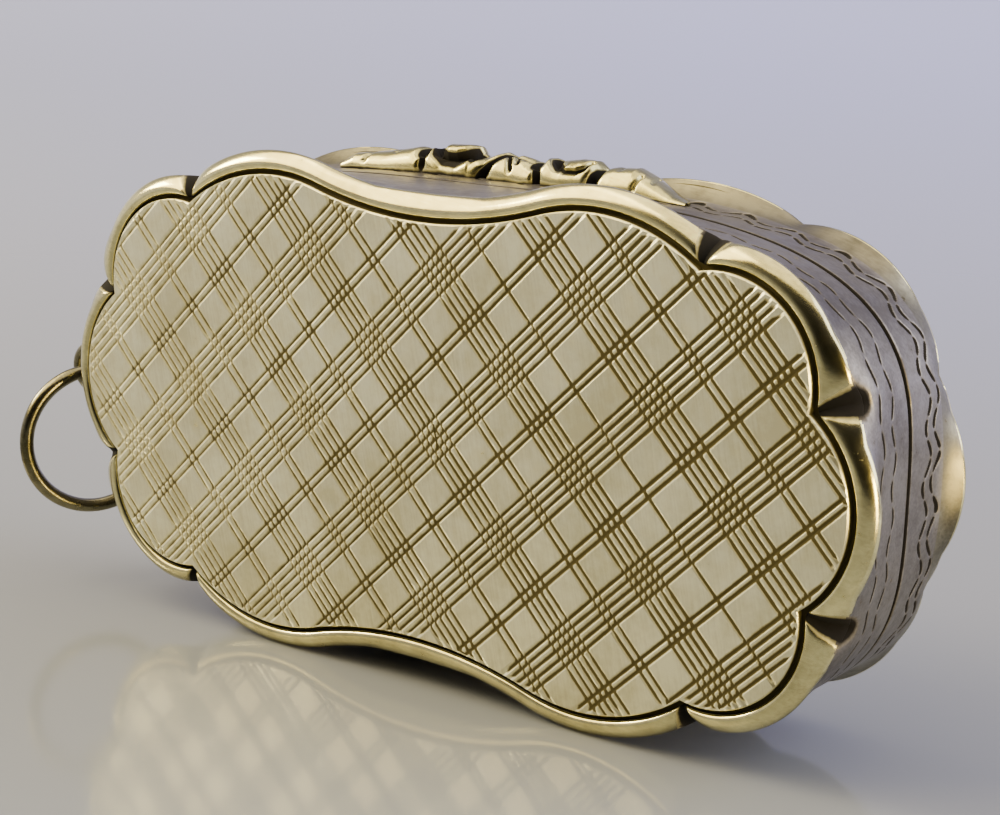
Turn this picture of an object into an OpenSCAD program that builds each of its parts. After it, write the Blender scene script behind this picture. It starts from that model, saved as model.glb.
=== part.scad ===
// Silver vinaigrette: a small waisted box with lobed ends, standing on its hinged long side.
// Origin at the centre of the engraved base panel. +X runs along the case away from the ring,
// +Y runs through the case from the base panel to the lid panel, +Z points up to the thumbpiece.

/* [Case] */
// Length over the rims
case_length = 39.6; // [38:0.2:41.2]
// Width over the rims at the shoulders
case_width = 20.9; // [20.1:0.1:21.7]
// Depth from the base panel to the lid panel
case_depth = 7.7; // [7.3:0.1:8.6]
// How far each long side draws in at its waist
waist_depth = 1.15; // [1:0.05:1.3]
// Radius of the two end lobes at the rim
end_lobe_r = 5.35; // [5.1:0.05:5.6]
// Radius of the four corner lobes at the rim
corner_lobe_r = 4.8; // [4.6:0.05:5]
// Distance of a corner lobe's centre from the end of the case
corner_lobe_back = 6.5; // [6.3:0.05:6.7]
// Distance of a corner lobe's centre from the side of the case
corner_lobe_drop = 6.3; // [6.1:0.05:6.5]
// Radius of the four shoulders at the rim
shoulder_r = 8.8; // [8.4:0.1:9.2]
// Distance of a shoulder's centre from the end of the case
shoulder_back = 12.05; // [11.7:0.05:12.4]

/* [Plates, rims and walls] */
// Thickness of the raised panel on each face
panel_t = 0.4; // [0.3:0.05:0.5]
// Thickness of the flange behind the panel
flange_t = 0.4; // [0.3:0.05:0.5]
// How far the flange reaches under the rim
flange_lap = 0.3; // [0.2:0.05:0.35]
// Width of the dark groove between panel and rim
groove_w = 0.15; // [0.1:0.01:0.2]
// Width of the rim moulding
rim_w = 0.8; // [0.7:0.05:0.9]
// How far the rim's crest lies behind the panel
rim_sink = 0.1; // [0.05:0.01:0.2]
// Depth of the rim's widest edge behind the panel
rim_edge = 0.45; // [0.4:0.05:0.6]
// Depth of the whole rim with its cove
rim_depth = 1.35; // [1.25:0.05:1.5]
// How far the side wall stands in from the rim at the ends
wall_set = 0.65; // [0.5:0.05:0.75]
// How far the side wall stands in from the rim at the shoulders
body_set = 0.95; // [0.85:0.05:1.05]
// How square the plain body's corners are, 2 for an ellipse
body_power = 3.4; // [3:0.1:3.8]
// Thickness of the side wall
wall_t = 0.5; // [0.4:0.05:0.6]
// Gap between the two halves at the seam
seam_gap = 0.1; // [0.06:0.02:0.16]

/* [Bezel, grille and sponge] */
// Thickness of the bezel strip that lines the base
bezel_t = 0.35; // [0.25:0.05:0.45]
// How far the bezel stands up into the lid
bezel_rise = 0.9; // [0.6:0.1:1.2]
// Clearance between the bezel and the lid
lid_clear = 0.08; // [0.06:0.01:0.12]
// Width of the ledge that carries the grille
ledge_w = 0.6; // [0.4:0.1:0.9]
// Thickness of the ledge
ledge_t = 0.5; // [0.3:0.1:0.7]
// How far the ledge runs past the middle towards the hinge
ledge_run = 4; // [2:0.5:5]
// Thickness of the pierced grille
grille_t = 0.35; // [0.25:0.05:0.45]
// Clearance round and under the grille
grille_clear = 0.12; // [0.08:0.01:0.2]
// Spacing of the piercings
pierce_pitch = 2.2; // [1.9:0.1:2.6]
// Mean radius of one four-lobed piercing
pierce_r = 0.72; // [0.5:0.02:0.8]
// Plain border left round the piercings
pierce_border = 1.1; // [0.8:0.1:1.6]
// Height of the grille's lifting tab
tab_rise = 0.9; // [0.6:0.1:1.2]
// Width of the lifting tab
tab_w = 2; // [1.4:0.1:2.6]
// Thickness of the lifting tab
tab_t = 0.35; // [0.25:0.05:0.5]
// Space kept between the sponge and the pieces round it
sponge_clear = 0.25; // [0.15:0.05:0.4]
// Thickness of the sponge
sponge_t = 2.1; // [1.6:0.1:2.2]

/* [Hinges] */
// Outer radius of the lid hinge's tubes
knuckle_r = 0.6; // [0.54:0.02:0.64]
// Radius of the lid hinge's pin
pin_r = 0.25; // [0.2:0.01:0.28]
// Length of the lid hinge
hinge_len = 9.6; // [8:0.2:10]
// End gap between neighbouring tubes
knuckle_gap = 0.08; // [0.05:0.01:0.12]
// Running clearance of each pin in its tubes
pin_clear = 0.03; // [0.02:0.005:0.05]
// Room cut round the hinge in the walls
hinge_room = 0.1; // [0.08:0.02:0.14]
// Outer radius of the grille hinge's tubes
grille_knuckle_r = 0.4; // [0.34:0.02:0.46]
// Radius of the grille hinge's pin
grille_pin_r = 0.17; // [0.14:0.01:0.2]
// Length of the grille hinge
grille_hinge_len = 5; // [4:0.2:6]

/* [Thumbpiece] */
// Length of the cast foliage
thumb_len = 17.2; // [15:0.2:18]
// How far the foliage rises above the body
thumb_rise = 1.3; // [1:0.1:1.6]
// Width of the foliage through the case
thumb_w = 1.85; // [1.4:0.05:2.1]
// How far the foliage lies below the lid panel
thumb_sink = 0.65; // [0.5:0.05:0.8]
// Number of leaves along the foliage
thumb_leaves = 7; // [5:2:9]
// Depth of the cuts between the leaves
thumb_cut = 0.2; // [0.1:0.02:0.3]

/* [Ring] */
// Radius of the suspension ring at the middle of its wire
ring_r = 3.2; // [2.9:0.1:3.5]
// Radius of the ring's wire
ring_wire_r = 0.33; // [0.28:0.01:0.36]
// Radius of the lug's wire
lug_wire_r = 0.3; // [0.26:0.01:0.36]
// Play of the ring's wire in the lug
lug_play = 0.27; // [0.25:0.01:0.32]
// Length of the post between the wall and the lug's loop
lug_post = 0.8; // [0.7:0.05:1]
// Radius of the lug's post
lug_post_r = 0.4; // [0.37:0.01:0.45]
// Depth of the lug behind the base panel
lug_depth = 2.1; // [2:0.05:2.4]
// How far the lug sits below the middle of the end
lug_drop = 0.6; // [0.4:0.05:0.8]
// Turn of the hanging ring away from the case's length
ring_turn = 66; // [64:1:76]

/* [Hidden] */
$fn = 48;

silver = [0.78, 0.73, 0.6];
dark_silver = [0.62, 0.58, 0.48];
gilt = [0.85, 0.66, 0.3];
sponge_tan = [0.78, 0.66, 0.42];

// Steps along each arc of one quarter of the outline
end_steps = 5;
corner_steps = 8;
shoulder_steps = 7;
waist_steps = 5;
// Steps along each curve of the rim's section
bead_steps = 3;
cove_steps = 4;
eps = 0.01;

half_length = case_length / 2;
half_width = case_width / 2;
waist_half = half_width - waist_depth;
seam_y = case_depth / 2;
// Half sizes of the plain body between the rims
body_x = half_length - wall_set;
body_z = half_width - body_set;

end_c = [half_length - end_lobe_r, 0];
corner_c = [half_length - corner_lobe_back, half_width - corner_lobe_drop];
shoulder_c = [half_length - shoulder_back, half_width - shoulder_r];
// The waist arc touches both shoulder arcs and passes the waist's half width
waist_up = waist_half - shoulder_c[1];
waist_r = (pow(shoulder_c[0], 2) + pow(waist_up, 2) - pow(shoulder_r, 2))
          / (2 * (shoulder_r - waist_up));
waist_c = [0, waist_half + waist_r];

// Insets from the rim's outer edge
panel_in = rim_w + groove_w;
flange_in = rim_w - flange_lap;
wall_in = wall_set + wall_t;
lid_in = wall_in - lid_clear;
bezel_in = wall_in + bezel_t;
grille_in = bezel_in + grille_clear;
sponge_in = bezel_in + ledge_w + sponge_clear;

back_y = panel_t + flange_t;
grille_y = seam_y;
ledge_top = grille_y - grille_clear / 4;

// The lid turns on a line level with the shoulders' wall, so that the halves part cleanly
hinge_z = -(half_width - wall_set);
tube_count = 5;
tube_len = (hinge_len - (tube_count - 1) * knuckle_gap) / tube_count;
// Webs and arms stand in from the ends of their tubes
web_len = tube_len - 2 * knuckle_gap;
web_top = waist_half;
// How far the webs and arms of the hinges reach from the axis, as a share of the tube's radius
web_share = 0.85;

grille_axis_z = -(waist_half - bezel_in - grille_knuckle_r - grille_clear);
grille_axis_y = grille_y + grille_knuckle_r;
grille_arm_y = grille_axis_y - web_share * grille_knuckle_r;
grille_tube_count = 3;
grille_tube_len = (grille_hinge_len - (grille_tube_count - 1) * knuckle_gap) / grille_tube_count;
grille_arm_len = grille_tube_len - 2 * knuckle_gap;
grille_edge_z = grille_axis_z + grille_knuckle_r + grille_clear;
tab_z = waist_half - grille_in - tab_t * 2;

lug_r = ring_wire_r + lug_play + lug_wire_r;
lug_x = -(body_x + lug_post + lug_r);
// The ring's wire hangs low in the lug
ring_top = -lug_drop - lug_play / 2;

thumb_y0 = case_depth - thumb_sink - thumb_w;
thumb_points = 84;
four_lobe_points = 16;
four_lobe_depth = 0.22;

function polar(c, r, a) = [c[0] + r * cos(a), c[1] + r * sin(a)];
function angle_to(a, b) = atan2(b[1] - a[1], b[0] - a[0]);

// Points along an arc, the last one left to the next arc
function arc(c, r, a0, a1, steps) =
    [for (i = [0 : steps - 1]) polar(c, r, a0 + (a1 - a0) * i / steps)];

// Outer crossing of two circles, or the point between them where they stay apart
function meet(c1, r1, c2, r2) =
    let (
        d = norm(c2 - c1),
        a = (d * d + r1 * r1 - r2 * r2) / (2 * d),
        h = sqrt(max(0, r1 * r1 - a * a)),
        u = (c2 - c1) / d
    )
    c1 + a * u + h * [u[1], -u[0]];

// One quarter of the lobed outline, from the end to the waist, moved in by an inset
function quarter(inset) =
    let (
        er = end_lobe_r - inset,
        cr = corner_lobe_r - inset,
        sr = shoulder_r - inset,
        end_cusp = meet(end_c, er, corner_c, cr),
        side_cusp = meet(corner_c, cr, shoulder_c, sr)
    )
    concat(
        arc(end_c, er, 0, angle_to(end_c, end_cusp), end_steps),
        arc(corner_c, cr, angle_to(corner_c, end_cusp), angle_to(corner_c, side_cusp), corner_steps),
        arc(shoulder_c, sr, angle_to(shoulder_c, side_cusp), angle_to(shoulder_c, waist_c),
            shoulder_steps),
        arc(waist_c, waist_r + inset, angle_to(waist_c, shoulder_c), -90, waist_steps)
    );

// The whole outline, anticlockwise from the +X end
function outline(inset) =
    let (
        q = quarter(inset),
        n = len(q),
        w = waist_half - inset
    )
    concat(
        q,
        [[0, w]],
        [for (k = [n - 1 : -1 : 0]) [-q[k][0], q[k][1]]],
        [for (k = [1 : n - 1]) -q[k]],
        [[0, -w]],
        [for (k = [n - 1 : -1 : 1]) [q[k][0], -q[k][1]]]
    );

// The plain body's outline, a rounded oblong, at the bearing of a point and moved in by an inset
function body_point(p, inset) =
    let (
        a = atan2(p[1], p[0]),
        reach = pow(abs(cos(a)) / (body_x - inset), body_power)
                + pow(abs(sin(a)) / (body_z - inset), body_power)
    )
    polar([0, 0], pow(reach, -1 / body_power), a);

// The rim's outer edge, drawn a share of the way to the plain body
function cove(share) =
    [for (p = outline(0)) p * (1 - share) + body_point(p, 0) * share];

// Outline inside the wall, where both the lobed edge and the plain body leave room
function room(inset) =
    [for (p = outline(inset)) p * min(1, norm(body_point(p, inset - wall_set)) / norm(p))];

// Section of the rim as outlines and depths: groove wall, bead, cove, then round the flange
function rim_section(inner) =
    concat(
        [[outline(rim_w), panel_t]],
        [for (i = [0 : bead_steps])
            let (a = 90 * i / bead_steps)
            [outline(rim_w / 2 * (1 + cos(a))),
             panel_t - eps - (panel_t - eps - rim_sink) * sin(a)]],
        [for (i = [1 : bead_steps])
            let (a = 90 + 90 * i / bead_steps)
            [outline(rim_w / 2 * (1 + cos(a))), rim_edge - (rim_edge - rim_sink) * sin(a)]],
        [for (i = [1 : cove_steps])
            let (a = 90 * i / cove_steps)
            [cove(sin(a)), rim_depth - (rim_depth - rim_edge) * cos(a)]],
        [[room(inner), rim_depth], [room(inner), back_y],
         [outline(flange_in), back_y], [outline(flange_in), panel_t]]
    );

// Skin through the outlines of a closed section
module band(section) {
    loops = [for (s = section) [for (p = s[0]) [p[0], s[1], p[1]]]];
    m = len(loops);
    n = len(loops[0]);
    points = [for (one_loop = loops) for (p = one_loop) p];
    faces = [
        for (j = [0 : m - 1])
            for (k = [0 : n - 1])
                let (
                    a = j * n + k,
                    b = j * n + (k + 1) % n,
                    c = ((j + 1) % m) * n + (k + 1) % n,
                    d = ((j + 1) % m) * n + k
                )
                each [[a, b, c], [a, c, d]]
    ];
    polyhedron(points, faces);
}

// Plate of a flat shape, drawn in X and Z, between two depths
module slab(y0, y1) {
    translate([0, y1, 0])
        rotate([90, 0, 0])
            linear_extrude(y1 - y0)
                children();
}

module plate_shape(inset) {
    polygon(outline(inset));
}

module body_shape() {
    polygon(cove(1));
}

module room_shape(inset) {
    polygon(room(inset));
}

// Strip that lines the inside of the wall
module lining_shape(outer, inner) {
    difference() {
        room_shape(outer);
        room_shape(inner);
    }
}

// Same shape on the lid's side of the case
module lid_side() {
    translate([0, case_depth, 0])
        mirror([0, 1, 0])
            children();
}

module rod_x(r, length) {
    rotate([0, 90, 0])
        cylinder(r = r, h = length, center = true);
}

// Everything that stands inside the side wall's outer face
module wall_core() {
    slab(0, case_depth) body_shape();
}

// Room for the lid hinge's tubes in both walls
module hinge_bed() {
    translate([0, seam_y, hinge_z]) rod_x(knuckle_r + hinge_room, hinge_len + 2 * hinge_room);
}

module face_plate() {
    slab(0, panel_t) plate_shape(panel_in);
    slab(panel_t, back_y) plate_shape(flange_in);
}

module side_wall(inner) {
    difference() {
        slab(rim_depth, seam_y - seam_gap / 2)
            difference() {
                body_shape();
                room_shape(inner);
            }
        hinge_bed();
    }
}

// Every second tube of a row, counted from first, on an axis along X through the local origin
module tube_row(first, count, length, r) {
    for (k = [first : 2 : count - 1])
        translate([(k - (count - 1) / 2) * (length + knuckle_gap), 0, 0]) rod_x(r, length);
}

// Webs that join every second tube to the bed in the wall above it
module web_row(first) {
    for (k = [first : 2 : tube_count - 1])
        translate([(k - (tube_count - 1) / 2) * (tube_len + knuckle_gap) - web_len / 2,
                   -web_share * knuckle_r, 0])
            cube([web_len, web_share * knuckle_r - seam_gap / 2, web_top]);
}

// Hinge tubes of one half, drawn on the base's side
module half_hinge(first) {
    difference() {
        union() {
            translate([0, seam_y, hinge_z]) tube_row(first, tube_count, tube_len, knuckle_r);
            difference() {
                translate([0, seam_y, hinge_z]) web_row(first);
                difference() {
                    wall_core();
                    hinge_bed();
                }
            }
        }
        translate([0, seam_y, hinge_z]) rod_x(pin_r + pin_clear, hinge_len + 1);
    }
}

module base_plate() {
    color(silver) face_plate();
}

module base_rim() {
    color(silver) band(rim_section(wall_in));
}

module base_wall() {
    color(dark_silver) side_wall(wall_in);
}

module base_bezel() {
    color(silver) slab(back_y, seam_y + bezel_rise) lining_shape(wall_in, bezel_in);
}

module grille_ledge() {
    color(silver)
        intersection() {
            slab(ledge_top - ledge_t, ledge_top) lining_shape(bezel_in, bezel_in + ledge_w);
            translate([-half_length, 0, -ledge_run])
                cube([case_length, case_depth, half_width + ledge_run]);
        }
}

module base_hinge_tubes() {
    color(silver) half_hinge(0);
}

module lid_hinge_pin() {
    color(dark_silver) translate([0, seam_y, hinge_z]) rod_x(pin_r, hinge_len);
}

module ring_lug() {
    color(silver)
        difference() {
            translate([lug_x, lug_depth, -lug_drop]) {
                rotate([90, 0, 0])
                    rotate_extrude()
                        translate([lug_r, 0])
                            circle(lug_wire_r);
                translate([lug_r, 0, 0])
                    rotate([0, 90, 0])
                        cylinder(r = lug_post_r, h = lug_post + wall_t);
            }
            wall_core();
        }
}

module suspension_ring() {
    color(dark_silver)
        translate([lug_x, lug_depth, ring_top - ring_r])
            rotate([90, 0, ring_turn])
                rotate_extrude()
                    translate([ring_r, 0])
                        circle(ring_wire_r);
}

module grille_hinge_brackets() {
    color(gilt)
        difference() {
            union() {
                translate([0, grille_axis_y, grille_axis_z])
                    tube_row(0, grille_tube_count, grille_tube_len, grille_knuckle_r);
                intersection() {
                    slab(grille_arm_y, grille_axis_y) room_shape(bezel_in);
                    for (k = [0 : 2 : grille_tube_count - 1])
                        translate([(k - 1) * (grille_tube_len + knuckle_gap) - grille_arm_len / 2,
                                   0, -half_width])
                            cube([grille_arm_len, case_depth, half_width + grille_axis_z]);
                }
            }
            translate([0, grille_axis_y, grille_axis_z])
                rod_x(grille_pin_r + pin_clear, grille_hinge_len + 1);
        }
}

module grille_hinge_pin() {
    color(dark_silver)
        translate([0, grille_axis_y, grille_axis_z]) rod_x(grille_pin_r, grille_hinge_len);
}

module sponge() {
    color(sponge_tan)
        intersection() {
            slab(back_y + eps, back_y + eps + sponge_t) room_shape(sponge_in);
            translate([-half_length, 0, grille_edge_z])
                cube([case_length, case_depth, case_width]);
        }
}

module lid_plate() {
    color(silver) lid_side() face_plate();
}

module lid_rim() {
    color(silver) lid_side() band(rim_section(lid_in));
}

module lid_wall() {
    color(dark_silver) lid_side() side_wall(lid_in);
}

module lid_hinge_tubes() {
    color(silver) lid_side() half_hinge(1);
}

// Height of the foliage's edge, an arch with a leaf-shaped scallop
function foliage_z(x) =
    let (
        arch = sqrt(1 - pow(2 * x / thumb_len, 2)),
        scallop = abs(cos(180 * thumb_leaves * (x / thumb_len)))
    )
    body_z + thumb_rise * arch - thumb_cut * (1 - scallop) * arch;

module foliage_shape() {
    edge = [for (i = [0 : thumb_points]) thumb_len * (0.5 - i / thumb_points)];
    polygon(concat([for (x = edge) [x, foliage_z(x)]], [[-thumb_len / 2, 0], [thumb_len / 2, 0]]));
}

module thumbpiece() {
    color(silver) {
        slab(thumb_y0, case_depth - rim_depth)
            difference() {
                foliage_shape();
                body_shape();
            }
        slab(case_depth - rim_depth, thumb_y0 + thumb_w)
            difference() {
                foliage_shape();
                body_shape();
                plate_shape(0);
            }
    }
}

// One four-lobed piercing
function four_lobe() =
    [for (i = [0 : four_lobe_points - 1])
        let (a = 360 * i / four_lobe_points)
        polar([0, 0], pierce_r * (1 - four_lobe_depth * cos(4 * a)), a)];

// True where a piercing lies inside the grille's plain border
function pierced(x, z) =
    pow(x / (half_length - grille_in - pierce_border), 4)
    + pow(z / (waist_half - grille_in - pierce_border), 4) < 1;

module grille() {
    columns = ceil(half_length / pierce_pitch);
    rows = ceil(half_width / pierce_pitch);
    color(gilt)
        slab(grille_y, grille_y + grille_t)
            difference() {
                room_shape(grille_in);
                for (i = [-columns : columns])
                    for (j = [-rows : rows])
                        if (pierced(i * pierce_pitch, j * pierce_pitch))
                            translate([i * pierce_pitch, j * pierce_pitch]) polygon(four_lobe());
                translate([-grille_hinge_len / 2 - grille_clear, -half_width])
                    square([grille_hinge_len + 2 * grille_clear, half_width + grille_edge_z]);
            }
}

module grille_hinge_tube() {
    color(gilt)
        difference() {
            union() {
                translate([0, grille_axis_y, grille_axis_z])
                    rod_x(grille_knuckle_r, grille_tube_len);
                translate([-grille_arm_len / 2, grille_arm_y, grille_axis_z])
                    cube([grille_arm_len, grille_y + grille_t - grille_arm_y,
                          grille_edge_z - grille_axis_z]);
            }
            translate([0, grille_axis_y, grille_axis_z])
                rod_x(grille_pin_r + pin_clear, grille_hinge_len);
        }
}

module grille_tab() {
    color(gilt)
        translate([0, grille_y + grille_t, tab_z])
            intersection() {
                cylinder(r = tab_w / 2, h = tab_t);
                translate([-tab_w / 2, 0, 0]) cube([tab_w, tab_rise, tab_t]);
            }
}

base_plate();
base_rim();
base_wall();
base_bezel();
grille_ledge();
base_hinge_tubes();
lid_hinge_pin();
ring_lug();
suspension_ring();
grille_hinge_brackets();
grille_hinge_pin();
sponge();
lid_plate();
lid_rim();
lid_wall();
lid_hinge_tubes();
thumbpiece();
grille();
grille_hinge_tube();
grille_tab();
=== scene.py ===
# %% [markdown]
# # A silver vinaigrette
# A vinaigrette is a palm-sized silver box for a sponge soaked in scented vinegar. It stands here on its
# hinged long side, with the plaid base towards us, the carved thumbpiece on top and a ring at the left end.
# The CAD frame gives every piece its place. The lesson dresses that frame, one piece at a time.

# %% Load the frame and set the working unit
import math

import bpy
import numpy as np
from mathutils import Matrix, Vector, noise


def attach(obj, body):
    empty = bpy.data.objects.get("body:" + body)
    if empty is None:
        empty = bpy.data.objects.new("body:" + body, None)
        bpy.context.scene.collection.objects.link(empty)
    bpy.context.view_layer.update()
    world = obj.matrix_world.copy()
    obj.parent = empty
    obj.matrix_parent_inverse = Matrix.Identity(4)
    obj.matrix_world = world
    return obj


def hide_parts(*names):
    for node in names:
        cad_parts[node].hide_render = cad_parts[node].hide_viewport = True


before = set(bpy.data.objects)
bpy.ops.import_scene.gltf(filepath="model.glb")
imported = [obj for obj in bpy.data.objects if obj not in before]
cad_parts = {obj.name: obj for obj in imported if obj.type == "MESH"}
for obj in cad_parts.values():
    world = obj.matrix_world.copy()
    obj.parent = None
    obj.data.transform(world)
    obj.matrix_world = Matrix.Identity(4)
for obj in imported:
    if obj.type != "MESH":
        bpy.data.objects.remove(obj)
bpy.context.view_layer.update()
MM = 0.001
rng = np.random.default_rng(1837)

# %% [markdown]
# The camera comes first, because every later choice is judged through it. Its place was worked out from the
# cusps of the lobed panel in the photograph: a close, slightly high view from the right of the base.

# %% Camera
bpy.ops.object.select_all(action="DESELECT")
bpy.ops.object.camera_add(
    location=(0.0498505, -0.0610314, 0.0192224),
    rotation=[math.radians(a) for a in (77.0894, -1.2633, 37.1756)])
camera = bpy.context.object
camera.name = "close_up_camera"
camera.data.sensor_width = 36
camera.data.lens = 74.682
camera.data.clip_start = 0.002
bpy.context.scene.camera = camera
print("camera stands", round(camera.location.length / MM), "mm from the base panel")

# %% [markdown]
# ## Finishes
# Sterling silver is white when new. Handled for a century it takes a warm grey tarnish, its edges stay bright,
# and polish and dirt dry to a dark brown in every groove and in a few pits. One function mixes these. The
# grooves' dirt is an attribute on the points, so that it lies exactly where the shape has a groove, and the
# same attribute paints shade by the panels' groove, in the base's notches, along the seam and at the
# thumbpiece's foot.

# %% Colour and node helpers
def colour(code):
    """sRGB hex to the linear colour that shaders use."""
    parts = [int(code[i:i + 2], 16) / 255 for i in (1, 3, 5)]
    return [c / 12.92 if c <= 0.04045 else ((c + 0.055) / 1.055) ** 2.4 for c in parts] + [1]


def add(tree, kind, settings=None, **inputs):
    """A node with its settings, and its inputs set or linked. An input's spaces are written as _."""
    node = tree.nodes.new(kind)
    for key, value in (settings or {}).items():
        setattr(node, key, value)
    for key, value in inputs.items():
        socket = node.inputs[int(key[1:])] if key[1:].isdigit() else node.inputs[key.replace("_", " ")]
        if isinstance(value, bpy.types.NodeSocket):
            tree.links.new(value, socket)
        else:
            socket.default_value = value
    return node


def new_material(name):
    """A material with an empty node tree."""
    material = bpy.data.materials.new(name)
    material.use_nodes = True
    material.node_tree.nodes.clear()
    return material, material.node_tree


# %% Old silver
def old_silver(name, clean, tarnish, dirt_and_shade_tone, smooth, dull, scratch_turn):
    """Hand-polished sterling silver: bright metal, cloudy tarnish, fine scratches, and dark polish residue with
    painted shade in the grooves.
    """
    material, tree = new_material(name)
    place = add(tree, "ShaderNodeTexCoord").outputs["Object"]
    # tarnish lies in clouds of about 5 mm, and a finer mottling of about 0.6 mm
    clouds = add(tree, "ShaderNodeTexNoise", Vector=place, Scale=0.2 / MM, Detail=3.0, Roughness=0.6)
    mottle = add(tree, "ShaderNodeTexNoise", Vector=place, Scale=1.7 / MM, Detail=4.0, Roughness=0.65)
    # wiping scratches, 0.1 mm apart and about 2 mm long
    stroke = add(tree, "ShaderNodeMapping", {"vector_type": "TEXTURE"}, Vector=place,
                 Rotation=(0, math.radians(scratch_turn), 0), Scale=(2 * MM, 0.1 * MM, 0.1 * MM))
    scratches = add(tree, "ShaderNodeTexNoise", Vector=stroke.outputs[0], Scale=1.0, Detail=2.0)
    cloud_mix = add(tree, "ShaderNodeMath", {"operation": "MULTIPLY_ADD"}, _0=mottle.outputs["Fac"], _1=0.55,
                    _2=clouds.outputs["Fac"])
    streaky = add(tree, "ShaderNodeMath", {"operation": "MULTIPLY_ADD"}, _0=scratches.outputs["Fac"], _1=0.35,
                  _2=cloud_mix.outputs[0])
    amount = add(tree, "ShaderNodeMapRange", Value=streaky.outputs[0], From_Min=0.78, From_Max=1.14)
    metal = add(tree, "ShaderNodeMix", {"data_type": "RGBA"}, _0=amount.outputs[0], _6=colour(clean),
                _7=colour(tarnish))
    # the grooves' dirt and painted shade start where the attribute passes about a quarter, with a ragged edge
    dirt_plus_shade = add(tree, "ShaderNodeAttribute", {"attribute_name": "dirt_and_shade"})
    ragged = add(tree, "ShaderNodeMath", {"operation": "MULTIPLY_ADD"}, _0=mottle.outputs["Fac"], _1=0.35,
                 _2=dirt_plus_shade.outputs["Fac"])
    in_grooves = add(tree, "ShaderNodeMapRange", Value=ragged.outputs[0], From_Min=0.42, From_Max=0.85)
    # rare pits hold some too
    in_pits = add(tree, "ShaderNodeMapRange", Value=mottle.outputs["Fac"], From_Min=0.68, From_Max=0.76,
                  To_Max=0.6)
    dirt_and_shade_mask = add(tree, "ShaderNodeMath", {"operation": "MAXIMUM"}, _0=in_grooves.outputs[0],
                _1=in_pits.outputs[0])
    skin = add(tree, "ShaderNodeMix", {"data_type": "RGBA"}, _0=dirt_and_shade_mask.outputs[0], _6=metal.outputs[2],
               _7=colour(dirt_and_shade_tone))
    rough = add(tree, "ShaderNodeMapRange", Value=mottle.outputs["Fac"], From_Min=0.3, From_Max=0.75,
                To_Min=smooth, To_Max=dull)
    rougher = add(tree, "ShaderNodeMath", {"operation": "MULTIPLY_ADD"}, _0=dirt_and_shade_mask.outputs[0], _1=0.8,
                  _2=rough.outputs[0])
    bare = add(tree, "ShaderNodeMapRange", Value=dirt_and_shade_mask.outputs[0], To_Min=1.0, To_Max=0.15)
    relief = add(tree, "ShaderNodeMath", {"operation": "MULTIPLY_ADD"}, _0=scratches.outputs["Fac"], _1=0.7,
                 _2=mottle.outputs["Fac"])
    bump = add(tree, "ShaderNodeBump", Strength=0.5, Distance=0.004 * MM, Height=relief.outputs[0])
    shader = add(tree, "ShaderNodeBsdfPrincipled", Base_Color=skin.outputs[2], Metallic=bare.outputs[0],
                 Roughness=rougher.outputs[0], Normal=bump.outputs[0])
    add(tree, "ShaderNodeOutputMaterial", Surface=shader.outputs[0])
    return material


# %% Silver finishes
# The panels are satin from many wipings, and the rims are rubbed bright. The cast leaves are a little less
# smooth. The walls and the ring are handled less, and have kept more of their tarnish. The lid's cove is
# darker again: tarnish, with the shade on the lid's sunk shoulders painted into its colour.
panel_silver = old_silver("engraved_sterling_silver", "#FAF7D2", "#D8D2AA", "#4A4321", 0.28, 0.42, 78)
# the rims' near-black dirt tone paints shade in the notches and beside the groove, over the dirt
rim_silver = old_silver("worn_sterling_silver", "#E6DEA4", "#B8B080", "#0A0804", 0.14, 0.22, 12)
cast_silver = old_silver("cast_sterling_silver", "#D4CD94", "#98915E", "#0E0A04", 0.18, 0.3, 20)
lid_silver = old_silver("dull_shaded_sterling_silver", "#84806E", "#5C594C", "#1E170A", 0.34, 0.46, 12)
wall_silver = old_silver("wiped_sterling_silver", "#8C8882", "#625E5A", "#100D0A", 0.38, 0.5, 3)
ring_silver = old_silver("tarnished_sterling_silver", "#86826A", "#56523C", "#1E170A", 0.18, 0.32, 30)
print("silver finishes:", [m.name for m in bpy.data.materials])

# %% [markdown]
# Vinegar eats bare silver, so the grille and its hinge are fire-gilt, and the sponge under them is a natural
# one. A soft noise is enough for the rubbed gold. A cell pattern of about half a millimetre paints shade into
# the fine pores of the sponge, and its larger pores are modelled later.

# %% Gilding and sponge
def gilding():
    """Fire-gilt silver: a thin satin coat of gold, rubbed a little paler in soft patches."""
    material, tree = new_material("fire_gilt_silver")
    place = add(tree, "ShaderNodeTexCoord").outputs["Object"]
    rubbed = add(tree, "ShaderNodeTexNoise", Vector=place, Scale=0.8 / MM, Detail=3.0)
    gold = add(tree, "ShaderNodeMix", {"data_type": "RGBA"}, _0=rubbed.outputs["Fac"], _6=colour("#D9A441"),
               _7=colour("#E9C878"))
    rough = add(tree, "ShaderNodeMapRange", Value=rubbed.outputs["Fac"], To_Min=0.22, To_Max=0.4)
    bump = add(tree, "ShaderNodeBump", Strength=0.3, Distance=0.004 * MM, Height=rubbed.outputs["Fac"])
    shader = add(tree, "ShaderNodeBsdfPrincipled", Base_Color=gold.outputs[2], Metallic=1.0,
                 Roughness=rough.outputs[0], Normal=bump.outputs[0])
    add(tree, "ShaderNodeOutputMaterial", Surface=shader.outputs[0])
    return material


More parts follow.
